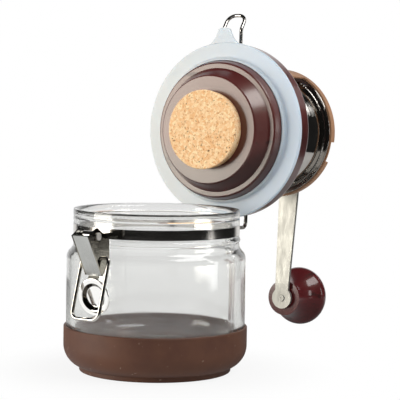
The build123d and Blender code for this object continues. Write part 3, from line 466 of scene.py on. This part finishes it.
# %% Steel pieces
bright, satin, warm = paint(196, 192, 186), paint(190, 191, 188), paint(184, 183, 176)
pin_pale = paint(240, 236, 230)
turned, spun, ground = (0.4, 0.4, 20), (0.4, 0.4, 14), (2, 2, 20)
drawn, tumbled = (3, 3, 3), (9, 3, 9)
band_steel = rubbed_steel(bright, 0.10, 0.20, turned, depth=0.05)
hopper_steel = rubbed_steel(bright, 0.04, 0.09, spun, depth=0.02, in_lid=True)
wire_steel = rubbed_steel(bright, 0.08, 0.22, drawn, depth=0.05)
pin_steel = rubbed_steel(pin_pale, 0.30, 0.45, drawn, depth=0.05)
crank_steel = rubbed_steel(warm, 0.45, 0.58, tumbled, depth=0.20, in_lid=True)
shaft_steel = rubbed_steel(satin, 0.22, 0.38, ground, depth=0.10, in_lid=True)
mill_steel = ("drive_shaft", "bearing_spider", "upper_bridge", "hopper_screws", "burr_spring")
dress(finish_of("band_steel", band_steel), "neck_band")
dress(finish_of("hopper_steel", hopper_steel), "bean_hopper", "crank_nut")
dress(finish_of("wire_steel", wire_steel), "latch_loop", "latch_hook", "hinge_wire")
dress(finish_of("pin_steel", pin_steel), "lever_pin")
dress(finish_of("bracket_steel", wire_steel), "latch_bracket", "hinge_bracket")
dress(finish_of("crank_steel", crank_steel), "crank_arm", "knob_bolt")
dress(finish_of("shaft_steel", shaft_steel), *mill_steel, "drive_washer", "knob_washer")

# %% [markdown]
# ## The latch lever
# The lever is one pressed piece with several finishes. Its front web is brushed along its length,
# and the thumb pad is polished. Painted shade darkens its cheeks toward the pin, the strip where
# the web meets the pad, and the wall of the pad's dish, where it stands for the dark room that the
# polish mirrors. One piece takes one material, so masks from the distance across the lever, from
# the height and from the pad's middle choose the gloss and the tone.

# %% Lever finish
pad_middle = Vector((0, 0, 0.04925))
pad_top = 0.0598
web_foot = 0.0610
cheek_inside = 0.0049
cheek_low, cheek_high = 0.068, 0.082
mask_edge = 0.0002
dish_foot, dish_foot_end = 0.0057, 0.0061
dish_brim, dish_brim_end = 0.0074, 0.0078
brushed = (30, 2, 2)
web_shade, pad_white = paint(176, 177, 174), paint(252, 251, 248)
# painted shade: the dark of the dish wall and of the strip between web and pad
dish_painted_shade, tongue_painted_shade = paint(72, 67, 60), paint(96, 94, 88)
# painted shade: the cheeks darken toward the pin
cheek_grey, cheek_painted_shade = paint(158, 154, 143), paint(76, 72, 65)


def pressed_lever(graph):
    def below(height, edge):
        return graph.span(height, edge - mask_edge, edge + mask_edge, 1.0, 0.0)

    place = graph.place()
    across, _, height = graph.split(place)
    beside = across.most(0 - across)
    on_pad = below(height, pad_top)
    on_tongue = below(height, web_foot) * (1 - on_pad)
    on_cheek = graph.span(beside, cheek_inside, cheek_inside + mask_edge) * (1 - on_pad)
    from_middle = graph.vector_sum(
        "DISTANCE", stretch(graph, place, (1, 0, 1)), pad_middle, out="Value"
    )
    past_foot = graph.span(from_middle, dish_foot, dish_foot_end)
    dish_wall = past_foot * graph.span(from_middle, dish_brim, dish_brim_end, 1.0, 0.0)
    rub, stain, wear = rub_and_stain(graph, place, brushed)
    web = graph.span(wear, 0.3, 0.7, 0.24, 0.40)
    tone = graph.mix(graph.span(stain, 0.35, 0.7), web_shade, satin)
    tone = graph.mix(on_pad, tone, pad_white)
    # painted shade on the wall of the pad's dish, for the dark room that the polish mirrors
    tone = graph.mix(on_pad * dish_wall, tone, dish_painted_shade)
    # painted shade on the strip where the web meets the pad
    tone = graph.mix(on_tongue, tone, tongue_painted_shade)
    # painted shade: the cheek colour darkens with height toward the pin
    cheek = graph.mix(graph.span(height, cheek_low, cheek_high), cheek_grey, cheek_painted_shade)
    sockets = {
        "Base Color": graph.mix(on_cheek, tone, cheek),
        "Metallic": 1.0,
        "Roughness": web * (1 - on_cheek) * (1 - on_pad) + on_cheek * 0.10 + on_pad * 0.06,
        "Normal": graph.bump(rub, strength=0.08, distance=scratch_depth),
    }
    return sockets, None


dress(finish_of("latch_steel", pressed_lever), "latch_lever")

# %% [markdown]
# ## The mill inside
# The burrs are fired ceramic, the housing and the cover's plate black plastic, and the bushes
# brass. They hardly show, but the hopper's mouth and the filling hole open onto them, so each gets
# a real finish: speckled bisque, a moulded grain, and brass with a rubbed bore.

# %% Ceramic, plastic and brass
bisque, bisque_pale, bisque_speck = paint(226, 222, 210), paint(240, 237, 228), paint(178, 168, 150)
plastic_black, plastic_worn = paint(34, 31, 29), paint(48, 44, 41)
brass = paint(214, 178, 102)
bisque_grain = 0.0002


def fired_ceramic(graph):
    place = graph.place()
    speck = graph.span(graph.noise(place, scale=900.0, detail=2.0), 0.66, 0.74)
    cloud = graph.noise(place, scale=80.0, detail=2.0)
    grain = graph.noise(place, scale=700.0, detail=3.0)
    colour = graph.mix(cloud, bisque, bisque_pale)
    sockets = {
        "Base Color": graph.mix(speck * 0.5, colour, bisque_speck),
        "Roughness": 0.45 + cloud * 0.2,
        "Normal": graph.bump(grain, strength=0.12, distance=bisque_grain),
    }
    return sockets, None


def moulded_plastic(graph):
    place = graph.place()
    grain = graph.noise(place, scale=1300.0, detail=2.0)
    cloud = graph.noise(place, scale=50.0, detail=2.0)
    sockets = {
        "Base Color": graph.mix(cloud, plastic_black, plastic_worn),
        "Roughness": 0.42 + cloud * 0.15,
        "Normal": graph.bump(grain, strength=0.15, distance=mould_grain),
    }
    return sockets, None


bush_brass = rubbed_steel(brass, 0.22, 0.40, ground, depth=0.10, in_lid=True)
plastic_pieces = ("cover_plate", "burr_housing", "adjuster_nut", "knob_bush")
dress(finish_of("burr_ceramic", fired_ceramic), "inner_burr", "outer_burr")
dress(finish_of("black_plastic", moulded_plastic), *plastic_pieces)
dress(finish_of("bush_brass", bush_brass), "lower_bush", "upper_bush")

# %% [markdown]
# ## The floor
# The grinder stands on a pale sheet that reads as white. If the lamps alone had to make it white,
# they would burn out the cork and the gasket, so the sheet glows by itself toward the camera. Near
# the foot a small share of it is lit in the ordinary way instead, which keeps the shadow. Polished
# steel and glass see the sheet too. To mirrors it is white in front of the jar and grey behind it,
# and through glass it is a light grey. It is a disc, not an endless plane, so the band mirrors a
# dark room past its edge.

# %% Floor disc
floor_radius = 0.45
floor_middle = 0.05
floor_drop = 0.0004
floor_sides = 96

disc = bmesh.new()
disc_place = Matrix.Translation((0, floor_middle, -floor_drop))
bmesh.ops.create_circle(
    disc, cap_ends=True, radius=floor_radius, segments=floor_sides, matrix=disc_place
)
floor_mesh = bpy.data.meshes.new("floor")
disc.to_mesh(floor_mesh)
disc.free()
floor = bpy.data.objects.new("floor", floor_mesh)
bpy.context.scene.collection.objects.link(floor)
print("floor disc", floor_radius * 2, "m across")


# %% Who looks at the studio
def seen_directly(graph):
    """Shares of a ray: from the camera, from a mirror, and from behind glass."""
    kinds = ("Is Camera Ray", "Is Glossy Ray", "Is Transmission Ray", "Transmission Depth")
    camera_ray, glossy, passed, depth = graph.node("ShaderNodeLightPath", {}, {}, out=kinds)
    through = passed.most(depth > 0.5)
    return camera_ray, glossy * (1 - through), through


print("rays are told apart by camera, mirror and glass")

# %% Floor finish
sheet_grey, sheet_pale = (0.60, 0.60, 0.59, 1), (0.64, 0.64, 0.63, 1)
shadow_start, shadow_end, shadow_share = 0.050, 0.115, 0.89
mirror_front, mirror_middle = -0.12, 0.05
mirror_front_white, mirror_middle_white = 0.98, 0.22
mirror_back, mirror_far, mirror_far_white = 0.20, 0.33, 0.42
white_through_glass = 0.78

sheet = bpy.data.materials.new("pale_sheet")
paper = Graph(sheet)
to_camera, to_mirror, through_glass = seen_directly(paper)
spot = paper.place()
tooth = paper.noise(spot, scale=400.0, detail=2.0)
pale = paper.mix(tooth, sheet_grey, sheet_pale)
from_foot = paper.vector_sum("LENGTH", spot, out="Value")
front_to_back = paper.split(spot)[1]
white_to_camera = paper.span(from_foot, shadow_start, shadow_end, shadow_share, 1.0)
white_to_mirror = paper.span(
    front_to_back, mirror_front, mirror_middle, mirror_front_white, mirror_middle_white
) + paper.span(front_to_back, mirror_back, mirror_far, 0.0, mirror_far_white)
share = to_camera * white_to_camera + to_mirror + through_glass
glow = to_camera + to_mirror * white_to_mirror + through_glass * white_through_glass
lit = paper.node("ShaderNodeBsdfDiffuse", {}, {"Color": pale})
white = paper.node("ShaderNodeEmission", {}, {"Color": glow, "Strength": 1.0})
mixed = paper.node("ShaderNodeMixShader", {}, {0: share, 1: lit, 2: white})
paper.node("ShaderNodeOutputMaterial", {}, {"Surface": mixed})
floor.data.materials.append(sheet)
print(sheet.name, "on", floor.name)

# %% [markdown]
# ## The studio
# Behind the grinder hangs a white wall, and the rest of the room is dim, which is what the polished
# steel mirrors. A wall of real mesh would shade the lamps, so it belongs to the world, in fixed
# directions. A large cream softbox to the front left lights the faces that look at us and lays the
# beige sheen on the lacquer, and one high on the right lights the other side. Two strips on the
# right draw the bright panes in the glass and the gloss on the knob, with a gap between them that
# keeps most of the band dark, and a thin leaning strip draws the slanting line on the hopper.

# %% World
wall_direction = -Vector((toward_camera.x, toward_camera.y, 0)).normalized()
wall_edge, wall_inside = 0.72, 0.86
glass_edge, glass_inside = 0.35, 0.75
room_light = 0.34
room_mirror = 0.02
room_through_glass = 1.15
wall_through_glass = 0.80

world = bpy.data.worlds.new("studio_room")
bpy.context.scene.world = world
room = Graph(world)
to_camera, to_mirror, through_glass = seen_directly(room)
sight = room.node("ShaderNodeTexCoord", {}, {}, out="Generated")
facing_wall = room.vector_sum("DOT_PRODUCT", sight, wall_direction, out="Value")
mirrored = room.span(facing_wall, wall_edge, wall_inside, room_mirror, 1.0)
seen_in_glass = room.span(
    facing_wall, glass_edge, glass_inside, room_through_glass, wall_through_glass
)
plain_rays = 1 - to_camera.most(to_mirror).most(through_glass)
shown = to_camera + to_mirror * mirrored + through_glass * seen_in_glass
brightness = shown + plain_rays * room_light
sky = room.node("ShaderNodeBackground", {}, {"Color": (1, 1, 1, 1), "Strength": brightness})
room.node("ShaderNodeOutputWorld", {}, {"Surface": sky})
print("white wall toward", [round(c, 2) for c in wall_direction])

# %% Softboxes
lamp_aim = Vector((0.0, 0.035, 0.105))
plain_white, cream = (1.0, 1.0, 1.0), (1.0, 0.96, 0.89)


def softbox(name, turn, tilt, distance, size, glow, colour=plain_white, lean=0):
    """A rectangular lamp, glow times as bright as white paper; its angles are in degrees."""
    width, height = size
    lamp = bpy.data.lights.new(name, "AREA")
    lamp.shape = "RECTANGLE"
    lamp.size = width
    lamp.size_y = height
    lamp.energy = glow * math.pi * width * height
    lamp.color = colour
    stand = bpy.data.objects.new(name, lamp)
    out = outward(math.radians(turn), math.radians(tilt))
    stand.location = lamp_aim + out * distance
    stand.rotation_mode = "QUATERNION"
    stand.rotation_quaternion = Quaternion(out, math.radians(lean)) @ out.to_track_quat("Z", "Y")
    stand.visible_camera = False
    bpy.context.scene.collection.objects.link(stand)
    on_paper = glow * width * height / distance**2 / math.pi
    print(name, "gives white paper", round(on_paper, 2), "facing it")


softbox("front_left_softbox", -43, 4, distance=1.10, size=(0.62, 0.74), glow=8.0, colour=cream)
softbox("high_right_softbox", 92, 52, distance=1.00, size=(0.75, 0.45), glow=6.4)
softbox("near_right_strip", 112, 9, distance=0.90, size=(0.14, 0.31), glow=4.6)
softbox("low_right_strip", 110, -11.5, distance=0.90, size=(0.15, 0.12), glow=4.6)
softbox("hopper_strip", 160.7, 21.0, distance=1.00, size=(0.02, 0.26), glow=5.0, lean=-48)

# %% [markdown]
# ## The view transform
# The finishes leave the size of the object as it was, and the picture uses the standard view
# transform.

# %% Finish
bpy.context.scene.view_settings.view_transform = "Standard"
